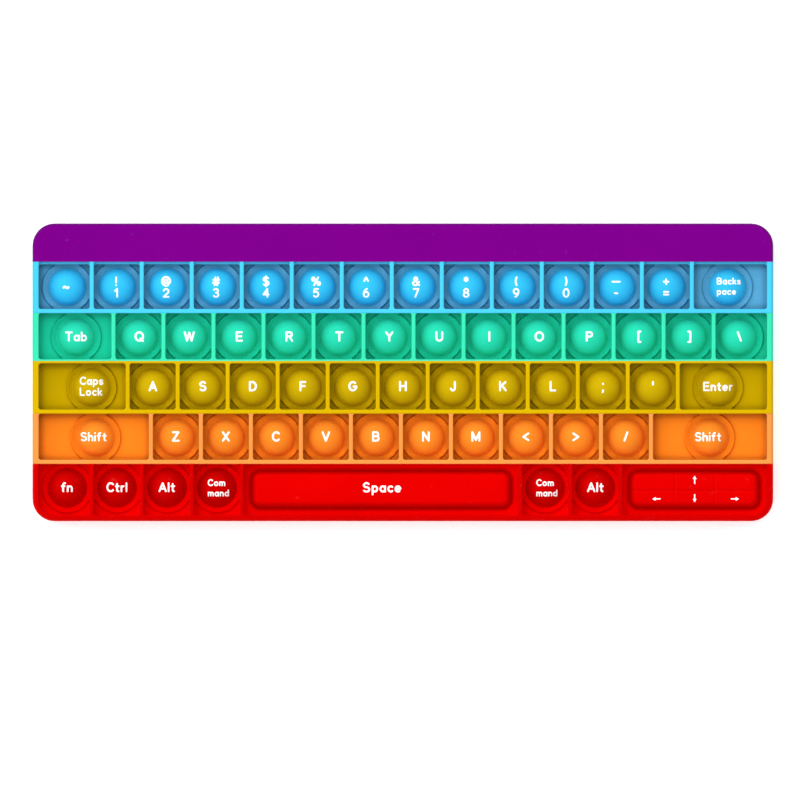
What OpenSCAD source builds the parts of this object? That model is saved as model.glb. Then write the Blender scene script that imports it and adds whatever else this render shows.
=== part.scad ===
// Push-bubble keyboard toy: a silicone sheet cured from six coloured bands, laid out as a compact
// computer keyboard. Every key is a bubble that pushes through the sheet and stays where it is put.
// Millimetres, +Z up. The sheet lies flat on z = 0, centred on the origin, back edge towards +Y.

/* [Sheet] */
// Overall length, left to right
length = 300; // [270:0.5:330]
// Overall depth, front to back
depth = 120.6; // [108:0.1:133]
// Overall thickness
thick = 15; // [13:0.5:17]
// Corner radius in plan
corner_r = 9; // [4:0.5:14]
// Rounding of the outer edges
edge_r = 1.2; // [0.4:0.1:2]
// Width of the side borders
side_border = 2.55; // [2:0.05:4]
// Width of the front border
front_border = 2.3; // [2:0.05:4]
// Depth of the plain strip along the back
strip = 15.55; // [10:0.05:20]
// Thickness of the plain strip's top skin
strip_skin = 2.4; // [1.5:0.1:5]
// Wall under the plain strip
strip_wall = 2.5; // [2:0.1:4]

/* [Cells] */
// Key pitch, left to right
pitch_x = 20.25; // [18:0.05:22]
// Key pitch, front to back
pitch_y = 20.35; // [18:0.05:22]
// Width of the ribs between two keys of a row
rib_x = 1.65; // [1:0.05:3]
// Width of the ribs between two rows
rib_y = 1.65; // [1:0.05:3]
// Height of the cell floor above the table
floor_z = 8.4; // [7:0.1:10]
// Thickness of the web the bubbles stand on
web = 1.2; // [0.8:0.1:2]
// Corner radius of a cell
cell_r = 1.0; // [0.5:0.1:2]

/* [Ribs, from the left edge] */
// First rib of the number row
row1_rib = 24.05; // [20:0.05:30]
// First rib of the Q row
row2_rib = 32.85; // [25:0.05:40]
// First rib of the A row
row3_rib = 38.6; // [30:0.05:45]
// First rib of the Z row
row4_rib = 48.0; // [40:0.05:55]
// First rib right of the long front pad
row5_rib = 197.6; // [190:0.05:205]

/* [Wide keys, bubble centre from the left edge] */
// Backspace
backspace_x = 281.6; // [278:0.1:286]
// Tab
tab_x = 17.6; // [14:0.1:21]
// Caps lock
caps_x = 23.85; // [14:0.05:27]
// Enter
enter_x = 277.8; // [273:0.1:286]
// Left shift
shift_l_x = 25.5; // [14:0.1:36]
// Right shift
shift_r_x = 274.4; // [262:0.1:286]

/* [Bubbles] */
// Radius of a bubble where it meets the cell floor
dome_r = 7.6; // [6:0.05:8]
// Height of a bubble above the cell floor
dome_h = 5.8; // [4:0.1:6.5]
// Wall of a bubble
shell = 1.0; // [0.6:0.1:1.4]
// Height above the floor at which the moving crown's dome begins
crown_cut = 3.1; // [2.6:0.1:4]
// Straight collar under the crown
collar = 0.7; // [0.4:0.1:1]
// Clearance between the crown and its lip
gap = 0.3; // [0.25:0.05:0.5]
// Height of the lip that stays in the sheet
lip_h = 2.1; // [1:0.1:2.4]
// Radius of the raised ring around a bubble
ring_r = 9.7; // [8.5:0.1:10.2]
// Height of the raised ring above the floor
ring_h = 1.3; // [0.3:0.1:1.8]
// Depth of the number row's back edge below the rib tops
ledge = 1.9; // [0.5:0.1:4]

/* [Pads] */
// Long pad, left to right
space_w = 105.7; // [90:0.1:108]
// Arrow pad, left to right
arrow_w = 53.0; // [45:0.1:55]
// Both pads, front to back
pad_d = 15.4; // [12:0.1:16]
// Corner radius of a pad where it meets the floor
pad_r = 4.0; // [3:0.1:6]
// Height of a pad above the floor
pad_h = 5.3; // [4:0.1:6]
// Rounding of a pad's top edge
pad_edge = 1.3; // [0.6:0.1:1.6]
// Height of the shelf around a pad above the floor
shelf_h = 0.7; // [0.3:0.1:1.2]
// Depth of the grooves that part the arrow pad
groove = 0.35; // [0.2:0.05:0.6]

/* [Hidden] */
$fn = 96;
eps = 0.02;
// floor level of the underside
web_z = floor_z - web;
// distances are taken from the back edge: centre line of rib k, then centre line of key row k
function rib_at(k) = strip - 0.4 + pitch_y * k;
function row_at(k) = strip + 10.15 + pitch_y * k;
// back edge of the cells of row k
function back_of(k) = k == 0 ? strip + 0.95 : rib_at(k) + rib_y / 2;
// where one colour stops and the next starts
joins = [0, strip, back_of(1), rib_at(2) - 0.15, back_of(3), back_of(4), depth];
// sphere that a bubble's outside follows, and its centre
sph_r = (dome_r * dome_r + dome_h * dome_h) / (2 * dome_h);
sph_z = floor_z + dome_h - sph_r;
function at_height(z) = sqrt(sph_r * sph_r - pow(z - sph_z, 2));
crown_z = floor_z + crown_cut;
crown_r = at_height(crown_z);
bore_r = crown_r + gap;
lip_z = floor_z + lip_h;
// pad levels, as distances outward from a pad's core rectangle
pad_top = floor_z + pad_h;
pad_out = pad_r - 1.0;
pad_bore = pad_out + gap;
// rows of the pads
pad_y = row_at(4) + 0.65;
space_x = (row1_rib + 3 * pitch_x + row5_rib) / 2;
arrow_x = (row5_rib + 2 * pitch_x + rib_x / 2 + length - side_border) / 2;

row1_ribs = [for (i = [0:12]) row1_rib + pitch_x * i];
row2_ribs = [for (i = [0:12]) row2_rib + pitch_x * i];
row3_ribs = [for (i = [0:11]) row3_rib + pitch_x * i];
row4_ribs = [for (i = [0:10]) row4_rib + pitch_x * i];
row5_ribs = concat([for (i = [0:3]) row1_rib + pitch_x * i], [for (i = [0:2]) row5_rib + pitch_x * i]);
// bubble centre of the k-th key after a rib
function after(rib, k) = rib + pitch_x * (k + 0.5);
row1_keys = concat([row1_rib - pitch_x / 2], [for (k = [0:11]) after(row1_rib, k)], [backspace_x]);
row2_keys = concat([tab_x], [for (k = [0:12]) after(row2_rib, k)]);
row3_keys = concat([caps_x], [for (k = [0:10]) after(row3_rib, k)], [enter_x]);
row4_keys = concat([shift_l_x], [for (k = [0:9]) after(row4_rib, k)], [shift_r_x]);
row5_keys = concat([row1_rib - pitch_x / 2], [for (k = [0:2]) after(row1_rib, k)],
                   [for (k = [0:1]) after(row5_rib, k)]);

// moves its children to a point given from the sheet's left and back edges
module at(x, y) {
    translate([x - length / 2, depth / 2 - y, 0]) children();
}

// upright box with round corners in plan
module cell(x0, x1, y0, y1, z0, z1, r) {
    at(x0, y1) {
        translate([r, 0, z0]) cube([x1 - x0 - 2 * r, y1 - y0, z1 - z0]);
        translate([0, r, z0]) cube([x1 - x0, y1 - y0 - 2 * r, z1 - z0]);
        for (x = [r, x1 - x0 - r], y = [r, y1 - y0 - r])
            translate([x, y, z0]) cylinder(h = z1 - z0, r = r);
    }
}

// sweeps a profile, drawn as (outward distance, z), round a rectangle w by d with its corners centred
// on the rectangle's corners
module swept(w, d) {
    for (a = [0, 180]) rotate([0, 0, a]) {
        translate([w / 2, d / 2, 0]) rotate([90, 0, 0]) linear_extrude(d) children();
        translate([w / 2, d / 2, 0]) rotate_extrude(angle = 90) children();
        translate([-w / 2, d / 2, 0]) rotate([90, 0, 90]) linear_extrude(w) children();
        translate([-w / 2, d / 2, 0]) rotate([0, 0, 90]) rotate_extrude(angle = 90) children();
    }
}

// profile of a slab's edge: a rectangle r by z0..z1 with its outer corners rounded
module slab_profile(r, z0, z1, low, high) {
    difference() {
        translate([0, z0]) square([r, z1 - z0]);
        translate([r - high, z1 - high]) difference() { square(high + 1); circle(high); }
        if (low > 0) translate([r - low, z0 + low]) difference() {
            translate([0, -low - 1]) square(low + 1);
            circle(low);
        }
    }
}

// rounded slab w by d, plan radius r, lower and upper edges rounded
module slab(w, d, r, z0, z1, low, high) {
    translate([-(w / 2 - r), -(d / 2 - r), z0]) cube([w - 2 * r, d - 2 * r, z1 - z0]);
    swept(w - 2 * r, d - 2 * r) slab_profile(r, z0, z1, low, high);
}

// the outline inside the border walls, as an upright prism
module inside() {
    cell(side_border, length - side_border, 1, depth - front_border, -1, thick + 1, corner_r - side_border);
}

// lip, moat and raised ring that stay in the sheet round one bubble
module surround(x, y) {
    at(x, y) rotate_extrude() polygon([[bore_r, web_z], [bore_r, lip_z], [bore_r + 0.42, lip_z],
        [dome_r, floor_z], [dome_r + 0.35, floor_z], [ring_r, floor_z + ring_h],
        [ring_r + 0.6, floor_z], [ring_r + 0.6, web_z]]);
}

// the same round a pad
module pad_surround(x, w) {
    at(x, pad_y) swept(w - 2 * pad_r, pad_d - 2 * pad_r) polygon([[pad_bore, web_z], [pad_bore, lip_z],
        [pad_bore + 0.42, lip_z], [pad_r, floor_z], [pad_r + 0.4, floor_z],
        [pad_r + 1.2, floor_z + shelf_h], [pad_r + 1.9, floor_z], [pad_r + 1.9, web_z]]);
}

// opening under a pad
module pad_bore_cut(x, w) {
    r = pad_bore;
    hw = w / 2 - pad_r + r;
    hd = pad_d / 2 - pad_r + r;
    cell(x - hw, x + hw, pad_y - hd, pad_y + hd, web_z - 1, floor_z + 1, r);
}

// one key row of the sheet: its slice of the slab with cells, bubble openings and a channel below
module key_row(k, ribs, keys) {
    front = k == 4 ? depth - front_border : rib_at(k + 1) - rib_y / 2;
    back = back_of(k);
    edges = concat([side_border - rib_x / 2], ribs, [length - side_border + rib_x / 2]);
    intersection() {
        slab(length, depth, corner_r, 0, thick, edge_r, edge_r);
        at(0, joins[k + 2]) cube([length, joins[k + 2] - joins[k + 1], thick]);
        union() {
            difference() {
                at(0, joins[k + 2]) cube([length, joins[k + 2] - joins[k + 1], thick]);
                intersection() {
                    inside();
                    union() {
                        for (i = [0:len(edges) - 2])
                            cell(edges[i] + rib_x / 2, edges[i + 1] - rib_x / 2, back, front,
                                 floor_z, thick + 1, cell_r);
                        if (k == 0) for (i = [0:len(edges) - 2])
                            at(edges[i] + rib_x / 2, back + cell_r)
                                translate([0, 0, thick - ledge])
                                    cube([edges[i + 1] - edges[i] - rib_x, back + cell_r - strip, thick]);
                        cell(side_border, length - side_border, back, front, -1, web_z, cell_r);
                    }
                }
                for (x = keys) at(x, row_at(k))
                    translate([0, 0, web_z - 1]) cylinder(h = web + 2, r = bore_r);
                if (k == 4) {
                    pad_bore_cut(space_x, space_w);
                    pad_bore_cut(arrow_x, arrow_w);
                }
            }
            for (x = keys) surround(x, row_at(k));
            if (k == 4) {
                pad_surround(space_x, space_w);
                pad_surround(arrow_x, arrow_w);
            }
        }
    }
}

// moving crown of one bubble: a spherical cap on a short straight collar
module crown(x, y) {
    at(x, y) rotate_extrude() {
        difference() {
            intersection() {
                translate([0, sph_z]) circle(sph_r);
                translate([0, crown_z]) square([crown_r, dome_h]);
            }
            translate([0, sph_z]) circle(sph_r - shell);
        }
        translate([crown_r - shell, crown_z - collar]) square([shell, collar + 0.1]);
    }
}

// moving crown of a pad: a hollow rounded block
module pad_crown(x, w) {
    z0 = crown_z - collar;
    inset = pad_r - pad_out;
    at(x, pad_y) difference() {
        slab(w - 2 * inset, pad_d - 2 * inset, pad_out, z0, pad_top, 0, pad_edge);
        slab(w - 2 * inset - 2 * shell, pad_d - 2 * inset - 2 * shell, pad_out - shell, z0 - 1,
             pad_top - shell, 0, pad_edge - 0.5);
    }
}

module violet_band() color([0.51, 0.01, 0.56]) intersection() {
    slab(length, depth, corner_r, 0, thick, edge_r, edge_r);
    at(0, strip) cube([length, strip, thick]);
    difference() {
        at(0, strip) cube([length, strip, thick]);
        cell(side_border, length - side_border, strip_wall, strip - strip_wall, -1,
             thick - strip_skin, corner_r - side_border - 1.5);
    }
}
module blue_band() color([0.3, 0.78, 0.96]) key_row(0, row1_ribs, row1_keys);
module green_band() color([0.2, 0.88, 0.7]) key_row(1, row2_ribs, row2_keys);
module yellow_band() color([0.88, 0.74, 0.04]) key_row(2, row3_ribs, row3_keys);
module orange_band() color([1, 0.55, 0.2]) key_row(3, row4_ribs, row4_keys);
module red_band() color([0.86, 0.01, 0.01]) key_row(4, row5_ribs, row5_keys);

module blue_key(i) color([0.2, 0.68, 0.95]) crown(row1_keys[i], row_at(0));
module green_key(i) color([0.1, 0.82, 0.6]) crown(row2_keys[i], row_at(1));
module yellow_key(i) color([0.84, 0.7, 0.03]) crown(row3_keys[i], row_at(2));
module orange_key(i) color([1, 0.47, 0.08]) crown(row4_keys[i], row_at(3));
module red_key(i) color([0.78, 0.01, 0.01]) crown(row5_keys[i], row_at(4));

module space_pad() color([0.9, 0.01, 0.01]) pad_crown(space_x, space_w);
module arrow_pad() color([0.9, 0.01, 0.01]) difference() {
    pad_crown(arrow_x, arrow_w);
    for (s = [-1, 1]) at(arrow_x + s * 8.1, pad_y)
        translate([-0.3, -pad_d / 2, pad_top - groove]) cube([0.6, pad_d, 1]);
    at(arrow_x, pad_y + 0.45)
        translate([-arrow_w / 2, -0.3, pad_top - groove]) cube([arrow_w, 0.6, 1]);
}

violet_band();
blue_band();
green_band();
yellow_band();
orange_band();
red_band();
blue_key(0);  // tilde_bubble
blue_key(1);  // digit_1_bubble
blue_key(2);  // digit_2_bubble
blue_key(3);  // digit_3_bubble
blue_key(4);  // digit_4_bubble
blue_key(5);  // digit_5_bubble
blue_key(6);  // digit_6_bubble
blue_key(7);  // digit_7_bubble
blue_key(8);  // digit_8_bubble
blue_key(9);  // digit_9_bubble
blue_key(10);  // digit_0_bubble
union() { blue_key(11); blue_key(12); }  // minus_plus_bubbles
blue_key(13);  // backspace_bubble
green_key(0);  // tab_bubble
green_key(1);  // q_bubble
green_key(2);  // w_bubble
green_key(3);  // e_bubble
green_key(4);  // r_bubble
green_key(5);  // t_bubble
green_key(6);  // y_bubble
green_key(7);  // u_bubble
green_key(8);  // i_bubble
green_key(9);  // o_bubble
green_key(10);  // p_bubble
union() { green_key(11); green_key(12); }  // bracket_bubbles
green_key(13);  // backslash_bubble
yellow_key(0);  // caps_lock_bubble
yellow_key(1);  // a_bubble
yellow_key(2);  // s_bubble
yellow_key(3);  // d_bubble
yellow_key(4);  // f_bubble
yellow_key(5);  // g_bubble
yellow_key(6);  // h_bubble
yellow_key(7);  // j_bubble
yellow_key(8);  // k_bubble
yellow_key(9);  // l_bubble
union() { yellow_key(10); yellow_key(11); }  // semicolon_quote_bubbles
yellow_key(12);  // enter_bubble
orange_key(0);  // shift_left_bubble
orange_key(1);  // z_bubble
orange_key(2);  // x_bubble
orange_key(3);  // c_bubble
orange_key(4);  // v_bubble
orange_key(5);  // b_bubble
orange_key(6);  // n_bubble
orange_key(7);  // m_bubble
union() { orange_key(8); orange_key(9); }  // comma_period_bubbles
orange_key(10);  // slash_bubble
orange_key(11);  // shift_right_bubble
union() { red_key(0); red_key(1); }  // fn_ctrl_bubbles
union() { red_key(2); red_key(3); }  // alt_command_left_bubbles
union() { red_key(4); red_key(5); }  // command_alt_right_bubbles
space_pad();
arrow_pad();
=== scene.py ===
"""Push-bubble keyboard toy: a six-colour silicone sheet with domes and pads that turn inside out.
Lengths are in millimetres until a mesh is made. The frame is the CAD's: +Z up, +Y to the back, the
sheet lying on z = 0 with its middle over the origin."""
import math

import bmesh
import bpy
import numpy as np
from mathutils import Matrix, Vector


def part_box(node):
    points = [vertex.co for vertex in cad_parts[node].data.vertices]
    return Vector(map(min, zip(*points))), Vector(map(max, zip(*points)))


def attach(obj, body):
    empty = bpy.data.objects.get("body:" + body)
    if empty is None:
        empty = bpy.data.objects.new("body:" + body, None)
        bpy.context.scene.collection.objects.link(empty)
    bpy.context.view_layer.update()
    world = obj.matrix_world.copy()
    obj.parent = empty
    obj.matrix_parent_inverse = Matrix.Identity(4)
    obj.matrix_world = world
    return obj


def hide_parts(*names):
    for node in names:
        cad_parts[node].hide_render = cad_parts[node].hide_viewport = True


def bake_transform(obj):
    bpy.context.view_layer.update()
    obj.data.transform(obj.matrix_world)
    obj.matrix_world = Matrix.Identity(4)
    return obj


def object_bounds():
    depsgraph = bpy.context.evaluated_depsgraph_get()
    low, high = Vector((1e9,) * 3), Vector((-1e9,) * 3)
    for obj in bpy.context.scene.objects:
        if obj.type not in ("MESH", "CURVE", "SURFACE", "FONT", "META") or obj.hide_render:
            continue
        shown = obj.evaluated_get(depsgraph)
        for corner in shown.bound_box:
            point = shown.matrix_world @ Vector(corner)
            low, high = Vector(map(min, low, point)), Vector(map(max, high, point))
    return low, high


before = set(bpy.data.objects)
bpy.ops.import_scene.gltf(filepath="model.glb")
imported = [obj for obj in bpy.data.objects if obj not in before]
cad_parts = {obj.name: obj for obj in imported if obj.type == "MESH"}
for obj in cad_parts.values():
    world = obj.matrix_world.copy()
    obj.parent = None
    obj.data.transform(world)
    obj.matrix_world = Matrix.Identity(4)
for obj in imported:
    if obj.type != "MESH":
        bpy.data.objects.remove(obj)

MM = 0.001
cad_low, cad_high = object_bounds()

# ---------------------------------------------------------------- sizes, as in the CAD source
LENGTH = (cad_high.x - cad_low.x) / MM
DEPTH = (cad_high.y - cad_low.y) / MM
THICK = (cad_high.z - cad_low.z) / MM
CORNER, EDGE = 9.0, 1.2  # plan radius and edge rounding of the sheet
SIDE, FRONT = 2.55, 2.3  # side and front borders
STRIP, STRIP_WALL, STRIP_SKIN = 15.55, 2.5, 2.4  # plain strip along the back
STRIP_CORNER = 4.95  # plan radius of the space under it
PITCH_X, PITCH_Y = 20.25, 20.35
RIB_X, RIB_Y = 1.65, 1.65
FLOOR, WEB = 8.4, 1.2  # height of the cell floors, thickness of the web below them
UNDER = FLOOR - WEB
CELL_R = 1.0
DOME_R, DOME_H, SHELL = 7.6, 5.8, 1.0
RING_H, SHELF_H = 1.3, 0.72  # raised ring round a bubble, shelf round a pad
HOLE = 0.5  # the dome piece starts this far outside the dome's foot
PAD_HOLE = 0.25  # and a pad this far outside its own
LAP = 0.02  # how far pieces and cutters run past the face they meet
PAD_D, PAD_R, PAD_H = 15.4, 4.0, 5.3
PAD_CROWN = 0.55  # the part of a pad's height that is its crown
SPACE_W, ARROW_W = 105.7, 53.0
FILLET = 0.6  # foot of the cell walls
ROUND = 0.42  # top edge of the ribs
EXPOSED = 0.3  # top edge of a rib where the next colour starts
LEDGE = 1.9  # how far the back edge of the number row lies below the ribs
SHARP_CORNER = 0.02  # plan radius where two colours meet
MESH_STEP = 0.55  # spacing of a cell's points along its walls
WELD = 2e-6  # points closer than this many metres are one


def rib_at(k):
    """Centre line of the rib behind key row k, from the back edge."""
    return STRIP - 0.4 + PITCH_Y * k


def back_of(k):
    """Back edge of the cells of key row k, from the back edge of the sheet."""
    return STRIP + 0.95 if k == 0 else rib_at(k) + RIB_Y / 2


def y_of(t):
    """y at a distance from the back edge."""
    return DEPTH / 2 - t


SPH_R = (DOME_R**2 + DOME_H**2) / (2 * DOME_H)
SPH_Z = FLOOR + DOME_H - SPH_R


# ---------------------------------------------------------------- mesh helpers
def mesh_object(name, verts, faces, mats, face_mat=None):
    me = bpy.data.meshes.new(name)
    me.from_pydata([tuple(v) for v in np.asarray(verts, float) * MM], [], faces)
    for m in mats:
        me.materials.append(m)
    if face_mat is not None:
        me.polygons.foreach_set("material_index", face_mat)
    me.polygons.foreach_set("use_smooth", [True] * len(me.polygons))
    me.update()
    ob = bpy.data.objects.new(name, me)
    bpy.context.scene.collection.objects.link(ob)
    return ob


def clean(ob):
    """Merges doubled points and makes the normals point outwards."""
    bm = bmesh.new()
    bm.from_mesh(ob.data)
    bmesh.ops.remove_doubles(bm, verts=bm.verts, dist=WELD)
    bmesh.ops.dissolve_degenerate(bm, dist=1e-8, edges=bm.edges)
    bmesh.ops.recalc_face_normals(bm, faces=bm.faces)
    bm.to_mesh(ob.data)
    bm.free()


def lofted(name, loops, mats=()):
    """Closed solid through loops of equal length, lowest first."""
    n = len(loops[0])
    verts = np.concatenate([np.asarray(p, float) for p in loops])
    faces = []
    for i in range(len(loops) - 1):
        a, b = i * n, (i + 1) * n
        for j in range(n):
            k = (j + 1) % n
            faces.append((a + j, a + k, b + k, b + j))
    faces.append(tuple(range(n - 1, -1, -1)))
    faces.append(tuple(range((len(loops) - 1) * n, len(loops) * n)))
    return mesh_object(name, verts, faces, mats)


def remove(ob):
    me = ob.data
    bpy.data.objects.remove(ob)
    bpy.data.meshes.remove(me)


def cut(target, tool):
    """Takes the tool's volume out of the target, and the tool out of the scene."""
    mod = target.modifiers.new("cut", "BOOLEAN")
    mod.operation, mod.solver, mod.object = "DIFFERENCE", "MANIFOLD", tool
    dg = bpy.context.evaluated_depsgraph_get()
    dg.update()
    made = bpy.data.meshes.new_from_object(target.evaluated_get(dg))
    target.modifiers.clear()
    old, target.data = target.data, made
    bpy.data.meshes.remove(old)
    remove(tool)


def joined(objects):
    """One object holding the meshes of all of them."""
    first = objects[0]
    bm = bmesh.new()
    for ob in objects:
        bm.from_mesh(ob.data)
    bm.to_mesh(first.data)
    bm.free()
    for ob in objects[1:]:
        remove(ob)
    return first


def outline(x0, x1, y0, y1, radii, grow, sides, arc=6):
    """Rounded rectangle as points, anticlockwise from the low corner. radii go round the same way
    from (x0, y0). grow moves it outwards. sides is how many points lie along x and along y, so that
    loops match, and arc how many in a corner."""
    nx, ny = sides
    x0, x1, y0, y1 = x0 - grow, x1 + grow, y0 - grow, y1 + grow
    r = [max(a + grow, 0.02) for a in radii]
    corners = [(x0 + r[0], y0 + r[0], 180), (x1 - r[1], y0 + r[1], 270),
               (x1 - r[2], y1 - r[2], 0), (x0 + r[3], y1 - r[3], 90)]
    pts = []
    for i, (cx, cy, start) in enumerate(corners):
        ends = []
        for k in range(arc + 1):
            a = math.radians(start + 90 * k / arc)
            ends.append((cx + r[i] * math.cos(a), cy + r[i] * math.sin(a)))
        pts += ends
        nxt = corners[(i + 1) % 4]
        a = math.radians(nxt[2])
        rr = r[(i + 1) % 4]
        end = (nxt[0] + rr * math.cos(a), nxt[1] + rr * math.sin(a))
        n = nx if i % 2 == 0 else ny
        bx, by = ends[-1]
        for k in range(1, n):
            f = k / n
            pts.append((bx + (end[0] - bx) * f, by + (end[1] - by) * f))
    return np.array(pts)


def smooth_step(t):
    t = np.clip(t, 0, 1)
    return t * t * (3 - 2 * t)


def dish(s):
    """Height of the raised ring above the cell floor, s outside a bubble's foot: it climbs ever
    more steeply to its crest and drops outside it."""
    rise = np.clip((s - 0.5) / 1.7, 0, 1) ** 1.5
    return RING_H * rise * (1 - smooth_step((s - 2.22) / 0.7))


def ledge(s):
    """Height of the shelf round a pad above the cell floor."""
    return SHELF_H * smooth_step((s - 0.45) / 0.6)


def rect_distance(x, y, hx, hy, r):
    """Distance outside a rounded rectangle centred on the origin, negative inside."""
    qx, qy = np.abs(x) - (hx - r), np.abs(y) - (hy - r)
    return np.hypot(np.maximum(qx, 0), np.maximum(qy, 0)) + np.minimum(np.maximum(qx, qy), 0) - r


def at_z(points, z):
    """Plan points with a height added, one for all or one each."""
    return np.column_stack([points, np.full(len(points), z) if np.isscalar(z) else z])


def middle(node):
    """Plan centre of a CAD node's box."""
    low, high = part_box(node)
    return (low[0] + high[0]) / 2 / MM, (low[1] + high[1]) / 2 / MM


# ---------------------------------------------------------------- cutters
# distances outside the opening at which the cell floor's relief is sampled, closest over the ring's
# crest, and shares of the way from the last of them to the wall
RING_STEPS = [0.15, 0.3, 0.5, 0.7, 0.9, 1.1, 1.3, 1.45, 1.57, 1.67, 1.77, 1.87, 1.97, 2.07, 2.17,
              2.27, 2.4, 2.6]
WALL_STEPS = (0.18, 0.36, 0.54, 0.7, 0.82, 0.92)


def wall_loops(ring, floor_z):
    """Loops from the cell floor, at height floor_z, up its wall and over the rounded rib edge.
    ring(grow) gives the outline."""
    loops = []
    for a in np.linspace(0, 90, 6):
        a = math.radians(a)
        loops.append(at_z(ring(-FILLET * (1 - math.sin(a))), floor_z + FILLET * (1 - math.cos(a))))
    for a in np.linspace(0, 90, 5):
        a = math.radians(a)
        loops.append(at_z(ring(ROUND * (1 - math.cos(a))), THICK - ROUND + ROUND * math.sin(a)))
    loops.append(at_z(ring(ROUND), THICK + 3))
    return loops


def cell_cutter(name, x0, x1, y0, y1, radii, cx, cy, pad=None):
    """What a key cell takes out of the sheet: the cell above its floor, with the raised ring or
    shelf left standing, and the opening that the dome or pad, pad wide, fills."""
    nx, ny = round((x1 - x0) / MESH_STEP), round((y1 - y0) / MESH_STEP)

    def ring(grow):
        return outline(x0, x1, y0, y1, radii, grow, (nx, ny))

    def floor_z(p):
        x, y = p[:, 0] - cx, p[:, 1] - cy
        if pad:
            return FLOOR + ledge(rect_distance(x, y, pad / 2, PAD_D / 2, PAD_R))
        return FLOOR + dish(np.hypot(x, y) - DOME_R)

    inner = ring(-FILLET)
    if pad:
        hx, hy = pad / 2 + PAD_HOLE, PAD_D / 2 + PAD_HOLE
        start = outline(cx - hx, cx + hx, cy - hy, cy + hy, [PAD_R + PAD_HOLE] * 4, 0,
                        (nx, ny))
    else:
        ray = inner - (cx, cy)
        start = (cx, cy) + ray / np.linalg.norm(ray, axis=1)[:, None] * (DOME_R + HOLE)
    reach = np.linalg.norm(inner - start, axis=1)
    n = len(RING_STEPS)
    slack = np.minimum(0.03, reach / (3 * n))  # near a wall the outer loops close up against it
    runs = [np.minimum(step, reach - (n - i) * slack) for i, step in enumerate(RING_STEPS)]
    runs += [runs[-1] + (reach - runs[-1]) * f for f in WALL_STEPS]
    loops = [at_z(start, UNDER - 2), at_z(start, FLOOR)]
    for run in runs:
        p = start + (inner - start) * (run / reach)[:, None]
        loops.append(at_z(p, floor_z(p)))
    loops += wall_loops(ring, floor_z(inner))
    return lofted(name, loops)


def channel_cutter(name, x0, x1, y0, y1, radii, top):
    """What is open under a row or under the plain strip."""
    sides = (40, 12)

    def ring(grow):
        return outline(x0, x1, y0, y1, radii, grow, sides)

    loops = [at_z(ring(ROUND), -3)]
    for a in np.linspace(90, 0, 5):
        a = math.radians(a)
        loops.append(at_z(ring(ROUND * (1 - math.cos(a))), ROUND - ROUND * math.sin(a)))
    for a in np.linspace(90, 0, 6):
        a = math.radians(a)
        loops.append(at_z(ring(-FILLET * (1 - math.sin(a))), top - FILLET * (1 - math.cos(a))))
    return lofted(name, loops)


def edge_inset(radius, z):
    """How far a face with rounded edges draws in at height z."""
    d = min(z, THICK - z)
    return 0.0 if d >= radius else radius - math.sqrt(max(radius**2 - (radius - d) ** 2, 0))


def blank(name, t0, t1, mat, front_round):
    """A colour band before its cells are cut: the slice of the sheet between two distances from the
    back edge. front_round is the edge radius of its face towards the next colour."""
    at_back, at_front = t0 <= 0, t1 >= DEPTH
    depths = {round(r * (1 - math.cos(math.radians(a))), 5)
              for r in (EDGE, front_round) if r > 0 for a in (0, 15, 30, 45, 60, 75, 90)}
    loops = []
    for z in sorted(depths | {THICK - d for d in depths}):
        e = edge_inset(EDGE, z)
        y_back = y_of(t0) - (e if at_back else 0.0)
        y_front = y_of(t1) + (e if at_front else edge_inset(front_round, z))
        x = LENGTH / 2 - e
        r_front = CORNER - e if at_front else SHARP_CORNER
        r_back = CORNER - e if at_back else SHARP_CORNER
        radii = [r_front, r_front, r_back, r_back]
        loops.append(at_z(outline(-x, x, y_front, y_back, radii, 0, (8, 4), 10), z))
    return lofted(name, loops, [mat])


# ---------------------------------------------------------------- materials
def srgb(r, g, b):
    """Linear colour of an 8-bit sRGB one."""
    def lin(c):
        c /= 255
        return c / 12.92 if c <= 0.04045 else ((c + 0.055) / 1.055) ** 2.4
    return (lin(r), lin(g), lin(b), 1)


class Nodes:
    """Short hand for building a material's node tree. In a value's name a double underscore stands
    for a space, and a leading underscore marks a property of the node."""

    def __init__(self, name):
        self.mat = bpy.data.materials.new(name)
        self.mat.use_nodes = True
        self.tree = self.mat.node_tree
        self.tree.nodes.clear()

    def add(self, kind, **values):
        node = self.tree.nodes.new(kind)
        for key, value in values.items():
            if key.startswith("_"):
                setattr(node, key[1:], value)
            else:
                node.inputs[key.replace("__", " ")].default_value = value
        return node

    def link(self, a, b):
        self.tree.links.new(a, b)

    def surface(self, **values):
        """The shader, joined to the output."""
        bsdf = self.add("ShaderNodeBsdfPrincipled", **values)
        self.link(bsdf.outputs[0], self.add("ShaderNodeOutputMaterial").inputs[0])
        return bsdf

    def noise(self, place, scale, detail, roughness):
        node = self.add("ShaderNodeTexNoise", Scale=scale, Detail=detail, Roughness=roughness)
        self.link(place, node.inputs["Vector"])
        return node.outputs["Fac"]

    def remap(self, source, low, high, to_low, to_high):
        node = self.add("ShaderNodeMapRange", From__Min=low, From__Max=high, To__Min=to_low,
                        To__Max=to_high)
        self.link(source, node.inputs["Value"])
        return node.outputs[0]

    def ramp(self, source, stops):
        node = self.add("ShaderNodeValToRGB")
        elements = node.color_ramp.elements
        elements.remove(elements[1])
        for i, (pos, col) in enumerate(stops):
            e = elements[0] if i == 0 else elements.new(pos)
            e.position, e.color = pos, col
        self.link(source, node.inputs["Fac"])
        return node.outputs["Color"]

    def bump(self, height, strength, distance, normal=None):
        node = self.add("ShaderNodeBump", Strength=strength, Distance=distance)
        self.link(height, node.inputs["Height"])
        if normal:
            self.link(normal, node.inputs["Normal"])
        return node.outputs[0]


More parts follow.
